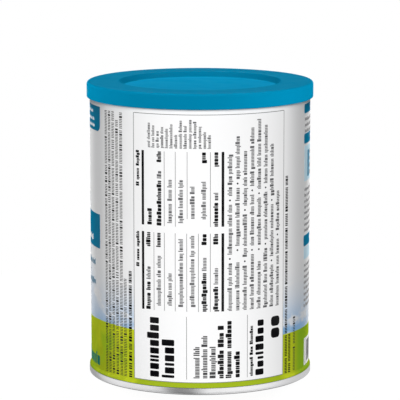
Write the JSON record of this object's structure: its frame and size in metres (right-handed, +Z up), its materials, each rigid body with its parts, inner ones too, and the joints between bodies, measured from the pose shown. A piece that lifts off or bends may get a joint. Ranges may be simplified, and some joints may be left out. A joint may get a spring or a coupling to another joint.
{
  "type": "toddler formula tin",
  "caption": "Shut round tin for milk powder, with a plastic overcap dished in the middle, a printed side and a rolled metal end with a seam it stands on.",
  "frame": {"origin": "middle of the ring that the tin stands on, at the underside of the seam", "axes": "+Z up along the tin's axis towards the overcap; -Y faces the side with the facts panel, seen in the picture"},
  "size_m": [0.1042, 0.1042, 0.1359],
  "materials": {
    "tinplate": "bright rolled tinplate, slightly brushed round the seam",
    "printed_wrap": "glossy varnished print on white, with green, sky blue and teal fields",
    "lid_plastic": "satin moulded polyethylene, opaque blue"
  },
  "bodies": {
    "root": {"base_end": "tinplate", "can_body": "printed_wrap", "lid": "lid_plastic"}
  },
  "joints": []
}
